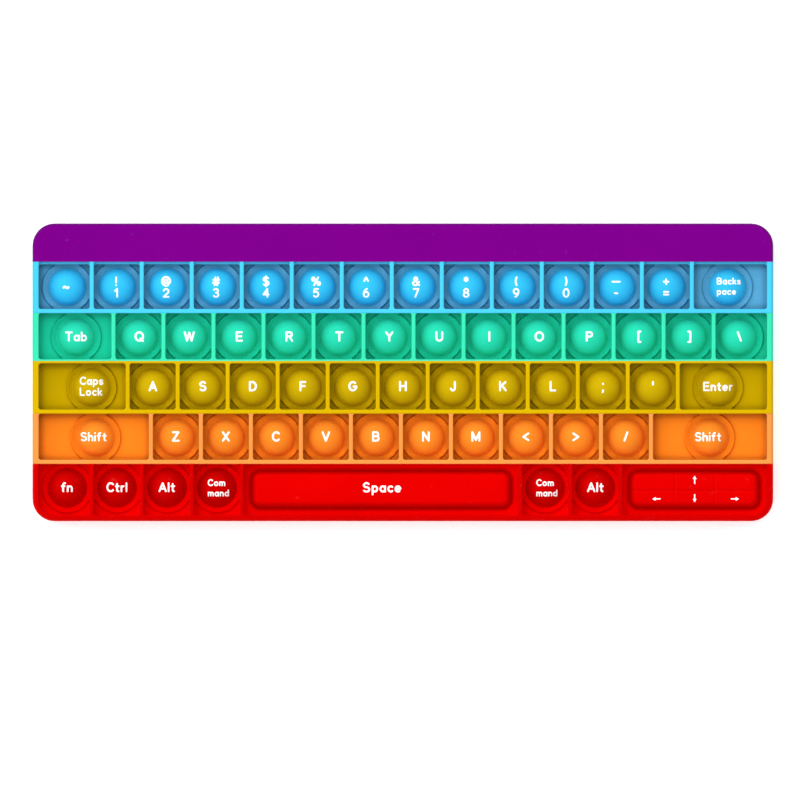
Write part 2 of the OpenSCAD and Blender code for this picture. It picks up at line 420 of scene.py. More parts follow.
def silicone(name, low, mid, high, rough, rise=True, foot=None):
    """Matt moulded silicone. low, mid and high colour it from the cell floors to the rib tops:
    painted light and shade by height, standing in for the light the floors get and the thin ribs
    let through. With rise off it is all mid, or runs out to foot where the crown attribute ends;
    foot is a floor colour, so it carries that painted light and shade onto a dome's foot. The shade
    attribute takes some of the colour back as painted shade. Faint clouding, a dusty bloom, fine
    mould grain and soft bumps come on top."""
    n = Nodes(name)
    bsdf = n.surface(IOR=1.41, Subsurface__Weight=0.15, Subsurface__Scale=0.001,
                     Subsurface__Radius=(1.0, 1.0, 1.0), Specular__IOR__Level=0.45,
                     Specular__Tint=high)
    pos = n.add("ShaderNodeTexCoord").outputs["Object"]
    cloud = n.noise(pos, 38.0, 4.0, 0.55)
    fine = n.noise(pos, 420.0, 3.0, 0.6)
    tone = n.add("ShaderNodeHueSaturation")
    # with rise on, painted light and shade by height: the floor colour low down, the rib-top colour
    # up high
    if rise:
        split = n.add("ShaderNodeSeparateXYZ")
        n.link(pos, split.inputs[0])
        level = n.remap(split.outputs["Z"], FLOOR * MM, THICK * MM, 0.0, 1.0)
        stops = [(0.0, low), (0.14, low), (0.5, mid), (0.9, high), (1.0, high)]
        n.link(n.ramp(level, stops), tone.inputs["Color"])
    elif foot:
        crown = n.add("ShaderNodeAttribute", _attribute_name="crown")
        n.link(n.ramp(crown.outputs["Fac"], [(0.0, foot), (1.0, mid)]), tone.inputs["Color"])
    else:
        tone.inputs["Color"].default_value = mid
    # painted shade: the shade attribute darkens the clouded colour
    shade = n.add("ShaderNodeAttribute", _attribute_name="shade")
    value = n.add("ShaderNodeMath", _operation="MULTIPLY")
    n.link(n.remap(cloud, 0.3, 0.7, 0.965, 1.035), value.inputs[0])
    n.link(shade.outputs["Fac"], value.inputs[1])
    n.link(value.outputs[0], tone.inputs["Value"])
    # bloom: pale dust specks that catch on the grain
    dust = n.add("ShaderNodeMix", _data_type="RGBA")
    factor, plain, dusty = dust.inputs[0], dust.inputs[6], dust.inputs[7]
    dusty.default_value = tuple(0.12 + 0.88 * c for c in high[:3]) + (1,)
    n.link(n.remap(fine, 0.66, 0.78, 0.0, 0.10), factor)
    n.link(tone.outputs["Color"], plain)
    n.link(dust.outputs[2], bsdf.inputs["Base Color"])
    n.link(n.remap(cloud, 0.3, 0.7, rough - 0.06, rough + 0.07), bsdf.inputs["Roughness"])
    # relief: mould grain and slow unevenness
    grain = n.bump(n.noise(pos, 2600.0, 2.0, 0.5), 0.10, 0.00012)
    swell = n.bump(n.noise(pos, 90.0, 2.0, 0.5), 0.12, 0.0006, grain)
    n.link(swell, bsdf.inputs["Normal"])
    return n.mat


def ink(name):
    """Slightly worn white pad-printing ink."""
    n = Nodes(name)
    bsdf = n.surface(IOR=1.48, Specular__IOR__Level=0.4)
    wear = n.noise(n.add("ShaderNodeTexCoord").outputs["Object"], 900.0, 4.0, 0.6)
    tones = [(0.0, (0.80, 0.82, 0.82, 1)), (0.42, (0.97, 0.97, 0.96, 1)), (1.0, (1.0, 1.0, 1.0, 1))]
    n.link(n.ramp(wear, tones), bsdf.inputs["Base Color"])
    n.link(n.remap(wear, 0.0, 1.0, 0.35, 0.6), bsdf.inputs["Roughness"])
    n.link(n.bump(wear, 0.15, 0.0001), bsdf.inputs["Normal"])
    return n.mat


# colours: floor, middle, rib top, dome. The first three are one silicone with painted light and
# shade by height
PALETTE = {
    "violet": (srgb(117, 0, 129), srgb(117, 0, 129), srgb(117, 0, 129), srgb(117, 0, 129)),
    "blue": (srgb(93, 168, 205), srgb(75, 175, 225), srgb(73, 198, 237), srgb(52, 188, 236)),
    "green": (srgb(28, 195, 158), srgb(40, 205, 162), srgb(60, 219, 175), srgb(39, 207, 169)),
    "yellow": (srgb(190, 159, 2), srgb(198, 165, 2), srgb(208, 171, 3), srgb(193, 163, 6)),
    "orange": (srgb(243, 133, 29), srgb(243, 135, 40), srgb(243, 149, 72), srgb(242, 135, 38)),
    "red": (srgb(233, 0, 0), srgb(214, 0, 0), srgb(198, 0, 0), srgb(191, 0, 0)),
}
# painted shade: how much darker a colour gets at the foot of its walls, in its moats and over the
# sheet's edge, see band_shade
NEAR_WALL_SHADE = {"violet": 0.0, "blue": 0.3, "green": 0.12, "yellow": 0.26, "orange": 0.32, "red": 0.0}
MOAT_SHADE = {"blue": 0.14, "green": 0.14, "yellow": 0.14, "orange": 0.14, "red": 0.03}
NEAR_WALL_SHADE_REACH = 2.8  # distance from a wall at which its painted shade ends
BRIM_SHADE = {"violet": 0.6, "blue": 0.34, "green": 0.34, "yellow": 0.3, "orange": 0.34,
        "red": -0.05}
BRIM_SHADE_REACH = 1.1  # and from the sheet's edge; red's negative value there is painted light, not shade
ROUGH = {"violet": 0.5, "blue": 0.44, "green": 0.46, "yellow": 0.48, "orange": 0.4, "red": 0.46}
PAD_RED = srgb(214, 0, 0)
band_mat = {c: silicone(c + "_silicone_sheet", p[0], p[1], p[2], ROUGH[c], rise=c != "violet")
            for c, p in PALETTE.items()}
# a blue dome runs out into the floor colour at its foot, with that colour's painted light and shade
dome_mat = {c: silicone(c + "_silicone_dome", p[3], p[3], p[3], ROUGH[c] - 0.03, rise=False,
                        foot=p[0] if c == "blue" else None)
            for c, p in PALETTE.items() if c != "violet"}
pad_mat = silicone("red_silicone_pad", PAD_RED, PAD_RED, PAD_RED, ROUGH["red"], rise=False)
white_ink = ink("legend_ink")

# ---------------------------------------------------------------- layout of the keys
ROWS = [
    ("blue", [24.05 + PITCH_X * i for i in range(13)]),
    ("green", [32.85 + PITCH_X * i for i in range(13)]),
    ("yellow", [38.6 + PITCH_X * i for i in range(12)]),
    ("orange", [48.0 + PITCH_X * i for i in range(11)]),
    ("red", [24.05 + PITCH_X * i for i in range(4)] + [197.6 + PITCH_X * i for i in range(3)]),
]


def letters(keys):
    return [(k + "_bubble", [k.upper()]) for k in keys]


def digits(keys, signs):
    return [("digit_%s_bubble" % k, [sign + "\n" + k]) for k, sign in zip(keys, signs)]


# node, then what is printed on each of its bubbles, left to right. A line break starts a second
# line.
KEYS = {
    "blue": [("tilde_bubble", ["~"])] + digits("1234567890", "!@#$%^&*()")
    + [("minus_plus_bubbles", ["–\n-", "+\n="]), ("backspace_bubble", ["Backs\npace"])],
    "green": [("tab_bubble", ["Tab"])] + letters("qwertyuiop")
    + [("bracket_bubbles", ["[", "]"]), ("backslash_bubble", ["\\"])],
    "yellow": [("caps_lock_bubble", ["Caps\nLock"])] + letters("asdfghjkl")
    + [("semicolon_quote_bubbles", [";", "'"]), ("enter_bubble", ["Enter"])],
    "orange": [("shift_left_bubble", ["Shift"])] + letters("zxcvbnm")
    + [("comma_period_bubbles", ["<", ">"]), ("slash_bubble", ["/"]),
       ("shift_right_bubble", ["Shift"])],
    "red": [("fn_ctrl_bubbles", ["fn", "Ctrl"]),
            ("alt_command_left_bubbles", ["Alt", "Com\nmand"]),
            ("command_alt_right_bubbles", ["Com\nmand", "Alt"])],
}
PADS = {"space_pad": SPACE_W, "arrow_pad": ARROW_W}
# how far a word's or a row's print is off its bubbles' centres, to the right and to the back
NUDGE = {"blue": (-0.3, -0.35), "green": (0.3, 0), "yellow": (0.05, 0.2), "orange": (-0.05, 0.2),
         "Tab": (0, 0), "Shift": (-0.75, 0.1), "Enter": (-0.15, 0.1), "Backs\npace": (0.45, 0),
         "Com\nmand": (0.6, -0.25)}


def centres(node, count):
    """Centres of a node's one or two bubbles, left to right, from the node's own box."""
    if count == 1:
        return [middle(node)]
    low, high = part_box(node)
    half = (high[1] - low[1]) / 2
    y = middle(node)[1]
    return [((low[0] + half) / MM, y), ((high[0] - half) / MM, y)]


# ---------------------------------------------------------------- colour bands
# distances from the back edge where the colours begin, and the front edge
JOINTS = [0, STRIP, back_of(1), rib_at(2) - 0.15, back_of(3), back_of(4), DEPTH]
GREEN, RED = 1, 4  # rows whose top isn't rounded towards the front: a flush joint, and the last row


def set_share(ob, name, values):
    """Stores a number per point that a material reads."""
    held = ob.data.attributes.new(name, "FLOAT", "POINT")
    held.data.foreach_set("value", np.asarray(values, np.float32))


def band_shade(ob, cells, colour):
    """Painted shade: how much of its colour a point shows. Less shows at the foot of a cell's
    walls, in the moat round a bubble or pad, and over the sheet's outer edge, where less light
    falls; a negative brim value paints light over the edge instead."""
    x, y, z = (np.array([v.co for v in ob.data.vertices]) / MM).T
    shade = np.ones(len(x))
    for x0, x1, y0, y1, cx, cy, pad in cells:
        here = (x > x0 - 0.01) & (x < x1 + 0.01) & (y > y0 - 0.01) & (y < y1 + 0.01)
        here &= z > FLOOR - 0.05
        # painted shade at the foot of the walls, fading out up them, then in the moat
        foot = 1.0
        for d in (np.minimum(x - x0, x1 - x)[here], np.minimum(y - y0, y1 - y)[here]):
            foot = foot * (1 - NEAR_WALL_SHADE[colour] * (1 - smooth_step(d / NEAR_WALL_SHADE_REACH)))
        up_wall = smooth_step((z[here] - 10.5) / 3.5)
        shade[here] = 1 + (foot - 1) * (1 - up_wall)
        if pad:
            s = rect_distance(x[here] - cx, y[here] - cy, pad / 2, PAD_D / 2, PAD_R)
            shade[here] *= pad_moat(s)
        else:
            shade[here] *= moat(np.hypot(x[here] - cx, y[here] - cy) - DOME_R, MOAT_SHADE[colour])
    # painted shade over the upper rounding of the sheet's outer edge
    inset = -rect_distance(x, y, LENGTH / 2, DEPTH / 2, CORNER)
    rim_shade = 1 - smooth_step(inset / BRIM_SHADE_REACH)
    rim_shade = rim_shade * smooth_step((z - 0.6 * THICK) / (0.3 * THICK))
    set_share(ob, "shade", shade * (1 - BRIM_SHADE[colour] * rim_shade))


def moat(s, depth):
    """Painted shade s outside a bubble's foot: the share of the colour that shows, depth less in
    the moat and a little less in the crease outside the ring, where less light falls."""
    return 1 - depth * np.exp(-((s - 0.3) / 0.7) ** 2) - 0.08 * np.exp(-((s - 2.85) / 0.35) ** 2)


def pad_moat(s):
    """The same painted shade, s outside a pad's foot."""
    return 1 - 0.24 * np.exp(-((s + 0.1) / 0.8) ** 2)


def finish_band(ob, colour, cells=()):
    clean(ob)
    ob.data.set_sharp_from_angle(angle=math.radians(32))
    band_shade(ob, cells, colour)
    mod = ob.modifiers.new("weighted", "WEIGHTED_NORMAL")
    mod.keep_sharp, mod.weight = True, 60
    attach(ob, "sheet")
    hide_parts(colour + "_band")


inner_x = LENGTH / 2 - SIDE  # the spaces under the sheet reach this far to each side
strip = blank("violet_strip", JOINTS[0], JOINTS[1], band_mat["violet"], 0.0)
cut(strip, channel_cutter("hollow", -inner_x, inner_x, y_of(STRIP - STRIP_WALL), y_of(STRIP_WALL),
                          [STRIP_CORNER] * 4, THICK - STRIP_SKIN))
finish_band(strip, "violet")


def ledge_cutter(x0, x1, y_high):
    """What a number-row cell takes out of the wall behind it, down to the low ledge."""
    top = THICK - LEDGE
    loops = []
    for z, grow in ((top, -0.25), (top + 0.25, 0.0), (THICK - 0.2, 0.0), (THICK, 0.2),
                    (THICK + 2, 0.2)):
        p = outline(x0, x1, y_high - 1.5, y_of(STRIP) + LAP, [0.4] * 4, grow, (10, 3))
        loops.append(at_z(p, z))
    return lofted("ledge", loops)


for k, (colour, ribs) in enumerate(ROWS):
    t0, t1 = JOINTS[k + 1], JOINTS[k + 2]
    band = blank(colour + "_sheet", t0, t1, band_mat[colour], 0.0 if k in (GREEN, RED) else EXPOSED)
    back = back_of(k)
    front = DEPTH - FRONT if k == RED else rib_at(k + 1) - RIB_Y / 2
    y_low, y_high = y_of(front), y_of(back)
    if abs(back - t0) < 0.01:
        y_high += LAP  # the wall there belongs to the next colour
    edges = [SIDE - RIB_X / 2] + ribs + [LENGTH - SIDE + RIB_X / 2]
    spots = [(c, None) for node, words in KEYS[colour] for c in centres(node, len(words))]
    if k == RED:
        spots += [(middle(node), width) for node, width in PADS.items()]
    cutters, ledges, cells = [], [], []
    for i in range(len(edges) - 1):
        x0 = edges[i] + RIB_X / 2 - LENGTH / 2
        x1 = edges[i + 1] - RIB_X / 2 - LENGTH / 2
        (cx, cy), pad = next(spot for spot in spots if x0 < spot[0][0] < x1)
        radii = [CELL_R] * 4
        if k == RED and i == 0:
            radii[0] = CORNER - SIDE
        if k == RED and i == len(edges) - 2:
            radii[1] = CORNER - SIDE
        cutters.append(cell_cutter("cell", x0, x1, y_low, y_high, radii, cx, cy, pad))
        cells.append((x0, x1, y_low, y_high, cx, cy, pad))
        if k == 0:
            ledges.append(ledge_cutter(x0, x1, y_high))
    cut(band, joined(cutters))
    if ledges:
        cut(band, joined(ledges))
    corner = CORNER - SIDE if k == RED else CELL_R
    cut(band, channel_cutter("channel", -inner_x, inner_x, y_low, y_high,
                             [corner, corner, CELL_R, CELL_R], UNDER))
    finish_band(band, colour, cells)


# ---------------------------------------------------------------- domes and pads
def dome_top(r):
    """Height of a bubble's outer surface at a distance from its centre: a ball that runs out softly
    at its foot."""
    r = np.asarray(r, float)
    start, end = DOME_R - 1.0, DOME_R + HOLE
    ball = SPH_Z + np.sqrt(np.maximum(SPH_R**2 - np.minimum(r, start)**2, 0)) - FLOOR
    slope = start / math.sqrt(SPH_R**2 - start**2)
    t = np.clip((r - start) / (end - start), 0, 1)
    foot = (2 * t**3 - 3 * t**2 + 1) * ball - (t**3 - 2 * t**2 + t) * slope * (end - start)
    return FLOOR + np.where(r < start, ball, foot)


def crush(height, full):
    """Share of a dome's full height at which a point stands, from 0 to 1."""
    return np.clip(height / full, 0, 1)


# Strokes of each sign on a grid where capitals are one high. Strokes are parted by ";". A stroke is
# a run of x,y points, and @cx,cy,rx,ry,a,b is an arc from angle a to angle b.
SIGNS = {
    "A": "0,0 .4,1 .8,0; .13,.32 .67,.32",
    "B": "0,0 0,1 .34,1 @.36,.76,.25,.24,90,-90 0,.52; .36,.52 @.38,.26,.29,.26,90,-90 0,0",
    "C": "@.42,.5,.42,.5,45,315",
    "D": "0,0 0,1 .26,1 @.28,.5,.44,.5,90,-90 0,0",
    "E": ".6,1 0,1 0,0 .62,0; 0,.52 .54,.52",
    "F": ".58,1 0,1 0,0; 0,.52 .5,.52",
    "G": "@.42,.5,.42,.5,48,350 .85,.46 .5,.46",
    "H": "0,0 0,1; .68,0 .68,1; 0,.52 .68,.52",
    "I": "0,0 0,1",
    "J": ".46,1 .46,.27 @.23,.26,.23,.26,0,-170",
    "K": "0,0 0,1; .64,1 0,.4; .22,.6 .68,0",
    "L": "0,1 0,0 .56,0",
    "M": "0,0 0,1 .42,.1 .84,1 .84,0",
    "N": "0,0 0,1 .68,0 .68,1",
    "O": "@.45,.5,.45,.5,0,360",
    "P": "0,0 0,1 .36,1 @.36,.74,.28,.26,90,-90 0,.48",
    "Q": "@.45,.5,.45,.5,0,360; .58,.26 .88,-.04",
    "R": "0,0 0,1 .38,1 @.38,.75,.27,.25,90,-90 0,.5; .36,.5 .68,0",
    "S": "@.34,.755,.31,.245,35,270 @.34,.255,.33,.255,90,-145",
    "T": "0,1 .74,1; .37,1 .37,0",
    "U": "0,1 0,.34 @.35,.34,.35,.34,180,360 .7,1",
    "V": "0,1 .38,0 .76,1",
    "W": "0,1 .27,0 .54,.95 .81,0 1.08,1",
    "X": "0,0 .7,1; 0,1 .7,0",
    "Y": "0,1 .36,.48 .72,1; .36,.48 .36,0",
    "Z": ".02,1 .66,1 0,0 .7,0",
    "a": "@.27,.31,.27,.31,0,360; .54,.62 .54,0",
    "b": "0,1 0,0; @.27,.31,.27,.31,0,360",
    "c": "@.28,.31,.28,.31,50,310",
    "d": "@.27,.31,.27,.31,0,360; .54,1 .54,0",
    "e": "0,.33 .56,.33 @.28,.31,.28,.31,4,310",
    "f": "@.34,.8,.18,.2,75,180 .16,0; 0,.62 .34,.62",
    "h": "0,1 0,0; 0,.36 @.25,.36,.25,.26,180,0 .5,0",
    "i": "0,.62 0,0; 0,.97 0,.98",
    "k": "0,1 0,0; .44,.62 0,.22; .16,.36 .48,0",
    "l": "0,1 0,0",
    "m": "0,.62 0,0; 0,.38 @.21,.38,.21,.24,180,0 .42,0; .42,.38 @.63,.38,.21,.24,180,0 .84,0",
    "n": "0,.62 0,0; 0,.36 @.25,.36,.25,.26,180,0 .5,0",
    "o": "@.29,.31,.29,.31,0,360",
    "p": "0,.62 0,-.32; @.27,.31,.27,.31,0,360",
    "r": "0,.62 0,0; 0,.34 @.22,.34,.22,.28,180,75",
    "s": "@.23,.47,.21,.15,30,270 @.23,.155,.22,.165,90,-150",
    "t": ".16,.9 .16,.16 @.3,.16,.14,.16,180,285; 0,.62 .36,.62",
    "0": "@.33,.5,.33,.5,0,360",
    "1": ".04,.76 .3,1 .3,0",
    "2": "@.32,.7,.31,.3,165,-38 0,0 .64,0",
    "3": "@.3,.76,.27,.24,150,-90 @.3,.26,.31,.26,90,-150",
    "4": ".5,0 .5,1 0,.3 .68,.3",
    "5": ".58,1 .12,1 .07,.55 @.3,.33,.31,.33,130,-145",
    "6": "@.32,.31,.31,.31,0,360; @.5,.32,.49,.68,98,180",
    "7": "0,1 .6,1 .2,0",
    "8": "@.31,.76,.26,.24,0,360; @.31,.26,.31,.26,0,360",
    "9": "@.32,.69,.31,.31,0,360; @.14,.68,.49,.68,-82,0",
    "~": "@.15,.42,.15,.13,180,25 @.43,.5,.15,.13,205,360",
    "!": "0,1 0,.36; 0,.01 0,0",
    "@": "@.52,.5,.52,.56,0,305; @.5,.5,.2,.23,0,360; .7,.72 .72,.4 @.88,.44,.16,.16,195,350",
    "#": ".2,0 .3,1; .52,0 .62,1; .02,.68 .76,.68; 0,.32 .74,.32",
    "$": "@.34,.755,.31,.245,35,270 @.34,.255,.33,.255,90,-145; .34,1.14 .34,-.14",
    "%": "@.16,.78,.16,.21,0,360; @.84,.22,.16,.21,0,360; .76,1 .24,0",
    "^": "0,.55 .24,1 .48,.55",
    "&": ".78,0 .19,.68 @.35,.8,.19,.2,210,-50 @.29,.25,.29,.27,120,310 .76,.46",
    "*": ".2,1 .2,.5; 0,.88 .4,.62; 0,.62 .4,.88",
    "(": "@.52,.5,.5,.75,138,222",
    ")": "@-.32,.5,.5,.75,42,-42",
    "–": "0,.45 .92,.45",
    "-": "0,.45 .34,.45",
    "+": "0,.45 .6,.45; .3,.75 .3,.15",
    "=": "0,.63 .56,.63; 0,.29 .56,.29",
    "[": ".24,1.08 0,1.08 0,-.15 .24,-.15",
    "]": "0,1.08 .24,1.08 .24,-.15 0,-.15",
    "\\": "0,1 .36,0",
    "/": "0,0 .36,1",
    ";": ".04,.78 .04,.77; .05,.02 0,-.2",
    "'": "0,1 0,.7",
    "<": ".6,.86 0,.46 .6,.06",
    ">": "0,.86 .6,.46 0,.06",
}


def strokes_of(sign):
    """A sign's strokes as arrays of points on its unit grid."""
    made = []
    for run in SIGNS[sign].split(";"):
        pts = []
        for word in run.split():
            v = [float(c) for c in word.lstrip("@").split(",")]
            if word[0] == "@":
                cx, cy, rx, ry, a, b = v
                for t in np.radians(np.linspace(a, b, max(4, int(abs(b - a) / 15)))):
                    pts.append((cx + rx * math.cos(t), cy + ry * math.sin(t)))
            else:
                pts.append(v)
        made.append(np.array(pts))
    return made


def line_of(text, tall, pen, cx, cy, gap):
    """Strokes in millimetres of one line of text, its capitals tall high over all and centred on
    (cx, cy). gap is the space between signs, as a share of tall."""
    unit, x, made = tall - pen, 0.0, []
    for sign in text:
        strokes = strokes_of(sign)
        left = min(q[:, 0].min() for q in strokes)
        right = max(q[:, 0].max() for q in strokes)
        made += [(q - (left, 0)) * unit + (x, 0) for q in strokes]
        x += (right - left) * unit + pen + gap * tall
    x -= gap * tall + pen
    return [q + (cx - x / 2, cy - unit / 2) for q in made]


def pen_distance(strokes, pen, x, y):
    """Distance outside a drawing made with a round pen, negative inside."""
    best = np.full(x.shape, 1e9)
    for q in strokes:
        for (ax, ay), (bx, by) in zip(q[:-1], q[1:]):
            dx, dy = bx - ax, by - ay
            t = np.clip(((x - ax) * dx + (y - ay) * dy) / max(dx * dx + dy * dy, 1e-12), 0, 1)
            best = np.minimum(best, np.hypot(x - ax - t * dx, y - ay - t * dy))
    return best - pen / 2


INK_OVER, INK_UNDER = 0.035, 0.07  # how far the ink stands proud of a surface and reaches into it


def print_on(distance, box, height, step):
    """Ink printed on a surface: the region where distance is negative, as a thin closed plate that
    follows height(x, y). Returns points and faces."""
    x0, x1, y0, y1 = box
    nx, ny = int((x1 - x0) / step) + 2, int((y1 - y0) / step) + 2
    gx, gy = x0 + step * np.arange(nx), y0 + step * np.arange(ny)
    d = distance(*np.meshgrid(gx, gy, indexing="ij"))
    d[np.abs(d) < 1e-3] = 1e-3
    pts, known, faces = [], {}, []

    def corner(i, j):
        if (i, j) not in known:
            known[i, j] = len(pts)
            pts.append((gx[i], gy[j]))
        return known[i, j]

    def crossing(a, b):
        key = (min(a, b), max(a, b))
        if key not in known:
            (i, j), (k, m) = key
            t = min(max(d[i, j] / (d[i, j] - d[k, m]), 0.07), 0.93)
            known[key] = len(pts)
            pts.append((gx[i] + (gx[k] - gx[i]) * t, gy[j] + (gy[m] - gy[j]) * t))
        return known[key]

    lowest = np.minimum.reduce([d[:-1, :-1], d[1:, :-1], d[:-1, 1:], d[1:, 1:]])
    for i, j in zip(*np.nonzero(lowest < 0)):
        ring = [(i, j), (i + 1, j), (i + 1, j + 1), (i, j + 1)]
        poly = []
        for a, b in zip(ring, ring[1:] + ring[:1]):
            if d[a] < 0:
                poly.append(corner(*a))
            if (d[a] < 0) != (d[b] < 0):
                poly.append(crossing(a, b))
        faces.append(tuple(poly))
    n = len(pts)
    flat = np.array(pts)
    edges = {(f[k - 1], f[k]) for f in faces for k in range(len(f))}
    walls = [(a + n, b + n, b, a) for a, b in edges if (b, a) not in edges]
    faces += [tuple(v + n for v in reversed(f)) for f in faces] + sorted(walls)
    z = height(flat[:, 0], flat[:, 1])
    return np.concatenate([at_z(flat, z + INK_OVER), at_z(flat, z - INK_UNDER)]), faces


def type_size(text):
    """Height of a print's capitals, width of its pen and half the distance between its lines."""
    lines = text.split("\n")
    if len(lines) == 2:
        if max(map(len, lines)) == 1:
            return 3.9, 0.7, 2.35
        return (3.4, 0.6, 2.2) if text == "Caps\nLock" else (2.85, 0.53, 2.1)
    if text == "Space":
        return 4.2, 0.74, 0
    if len(text) == 1:
        return 4.2, 0.8, 0
    return (4.0, 0.7, 0) if len(text) < 5 else (3.75, 0.66, 0)


def legend(text, cx, cy, height, gap=0.1):
    """The print on one key: one line, a sign above another, or a word broken over two lines that
    start level."""
    lines = text.split("\n")
    size, width, drop = type_size(text)
    rows = [line_of(line, size, width, cx, cy + 0.28 + drop * (1 - 2 * i), gap)
            for i, line in enumerate(lines)]
    if len(lines) > 1 and max(map(len, lines)) > 1:
        left = [min(q[:, 0].min() for q in row) for row in rows]
        rows = [[q - (at - min(left), 0) for q in row] for row, at in zip(rows, left)]
    drawn = [q for row in rows for q in row]
    both = np.concatenate(drawn)
    low, high = both.min(0) - width, both.max(0) + width
    return print_on(lambda x, y: pen_distance(drawn, width, x, y),
                    (low[0], high[0], low[1], high[1]), height, 0.2)


def arrow(cx, cy, angle, height):
    """A printed arrow pointing along angle."""
    c, s = math.cos(math.radians(angle)), math.sin(math.radians(angle))

    def distance(x, y):
        u, v = (x - cx) * c + (y - cy) * s, -(x - cx) * s + (y - cy) * c
        shaft = np.maximum(np.abs(u + 0.4) - 1.35, np.abs(v) - 0.24)
        head = np.maximum(-(u - 0.2), 0.5 * (u - 1.6) + 0.87 * np.abs(v))
        return np.minimum(shaft, head)

    return print_on(distance, (cx - 2.2, cx + 2.2, cy - 2.2, cy + 2.2), height, 0.16)


def lathe(profile, cx, cy, n):
    """Points and faces of a closed profile turned about the vertical through (cx, cy). The ends of
    the profile lie on the axis."""
    pts, faces = [(cx, cy, profile[0][1])], []
    rings = profile[1:-1]
    for r, z in rings:
        for j in range(n):
            a = 2 * math.pi * j / n
            pts.append((cx + r * math.cos(a), cy + r * math.sin(a), z))
    pts.append((cx, cy, profile[-1][1]))
    last = len(pts) - 1
    for j in range(n):
        k = (j + 1) % n
        faces.append((0, 1 + j, 1 + k))
        for i in range(len(rings) - 1):
            a, b = 1 + i * n, 1 + (i + 1) * n
            faces.append((a + j, b + j, b + k, a + k))
        e = 1 + (len(rings) - 1) * n
        faces.append((e + k, e + j, last))
    return np.array(pts), faces


def add_part(pts, faces, part):
    """Adds a part, points and faces, to a list of point arrays and a list of faces. Returns the
    number of faces added."""
    base = sum(len(q) for q in pts)
    pts.append(part[0])
    faces += [tuple(i + base for i in face) for face in part[1]]
    return len(part[1])


RIM = DOME_R + HOLE + LAP
BALL_R = SPH_R * np.sin(np.linspace(0.08, 1.02, 19))  # where the ball is sampled, then its foot
FOOT_R = [6.85, 7.0, 7.15, 7.3, 7.45, 7.6, 7.75, 7.9, 8.02, RIM]
IN_R = SPH_R - SHELL
IN_END = math.sqrt(IN_R**2 - (UNDER + 0.25 - SPH_Z) ** 2)
dome_profile = [(r, float(dome_top(r))) for r in [0.0, *BALL_R, *FOOT_R]]
dome_profile += [(RIM, UNDER), (IN_END + 0.25, UNDER), (IN_END + 0.08, UNDER + 0.08)]
dome_profile += [(r, SPH_Z + math.sqrt(IN_R**2 - r * r))
                 for r in (IN_END * math.sin(a) for a in np.linspace(math.pi / 2, 0, 20))]
dome_full = float(dome_top(0.0)) - FLOOR


def make_domes(node, colour, words):
    pts, faces, mat_of, weight, shade, crown = [], [], [], [], [], []
    for (cx, cy), text in zip(centres(node, len(words)), words):
        dome = lathe(dome_profile, cx, cy, 72)
        mat_of += [0] * add_part(pts, faces, dome)
        r = np.hypot(dome[0][:, 0] - cx, dome[0][:, 1] - cy)
        weight.append(crush(dome_top(r) - FLOOR, dome_full))
        # painted shade in the moat round the dome's foot
        shade.append(moat(r - DOME_R, MOAT_SHADE[colour]))
        crown.append(smooth_step((RIM - r) / 1.2))
        dx, dy = NUDGE.get(text, NUDGE.get(colour, (0, 0)))
        sign = legend(text, cx + dx, cy + dy, lambda x, y: dome_top(np.hypot(x - cx, y - cy)))
        mat_of += [1] * add_part(pts, faces, sign)
        r = np.hypot(sign[0][:, 0] - cx, sign[0][:, 1] - cy)
        weight.append(crush(dome_top(r) - FLOOR, dome_full))
        shade.append(np.ones(len(r)))
        crown.append(np.ones(len(r)))
    ob = mesh_object(node + "_dome", np.concatenate(pts), faces, [dome_mat[colour], white_ink],
                     mat_of)
    set_share(ob, "crown", np.concatenate(crown))
    body_blend(ob, node, np.concatenate(shade))


def body_blend(ob, node, shade):
    """Gives a piece its painted shade per point, marks its sharp edges, bakes its placement into
    its points and hides the CAD part it stands for."""
    set_share(ob, "shade", shade)
    ob.data.set_sharp_from_angle(angle=math.radians(38))
    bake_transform(ob)
    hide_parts(node)


for colour, keys in KEYS.items():
    for node, words in keys:
        make_domes(node, colour, words)


SHOULDER = 2.9  # width of a pad's rounded shoulder
GROOVE_HALF, GROOVE_DEEP = 0.45, 0.32
# distances inside a pad's foot at which its outer and inner surfaces are sampled
PAD_UP = [-PAD_HOLE - LAP, -0.15, -0.05, 0.02, 0.08, 0.16, 0.26, 0.38, 0.5, 0.64, 0.8, 0.96, 1.14,
          1.34, 1.55, 1.8, 2.1, 2.5, 3.0, 3.5, PAD_R]
PAD_DOWN = [-PAD_HOLE - LAP, 0.9, 1.02, 1.1, 1.25, 1.4, 1.6, 1.85, 2.1, 2.4, 2.8, 3.3, PAD_R]


def pad_top(s):
    """Height of a pad's outer surface, s inside its foot: a steep side, a round shoulder and a
    slightly crowned top."""
    s = np.asarray(s, float)
    side = (PAD_H - PAD_CROWN) * (1 - np.clip(1 - s / SHOULDER, 0, 1) ** 2.6)
    crown = PAD_CROWN * (1 - np.clip(1 - s / (PAD_D / 2), 0, 1) ** 2)
    return FLOOR + (side + crown) * smooth_step((s + 0.02) / 0.5)


def marks(half, lines):
    """Grid lines from -half to half, close together across each groove."""
    base = set(np.round(np.linspace(-half, half, max(8, round(2 * half / 0.9)) + 1), 4))
    for g in lines:
        base |= {round(g + d, 4) for d in np.linspace(-GROOVE_HALF, GROOVE_HALF, 7)}
    out = []
    for v in sorted(base):
        if -half <= v <= half and (not out or v - out[-1] > 0.08):
            out.append(v)
    out[-1] = half
    return out


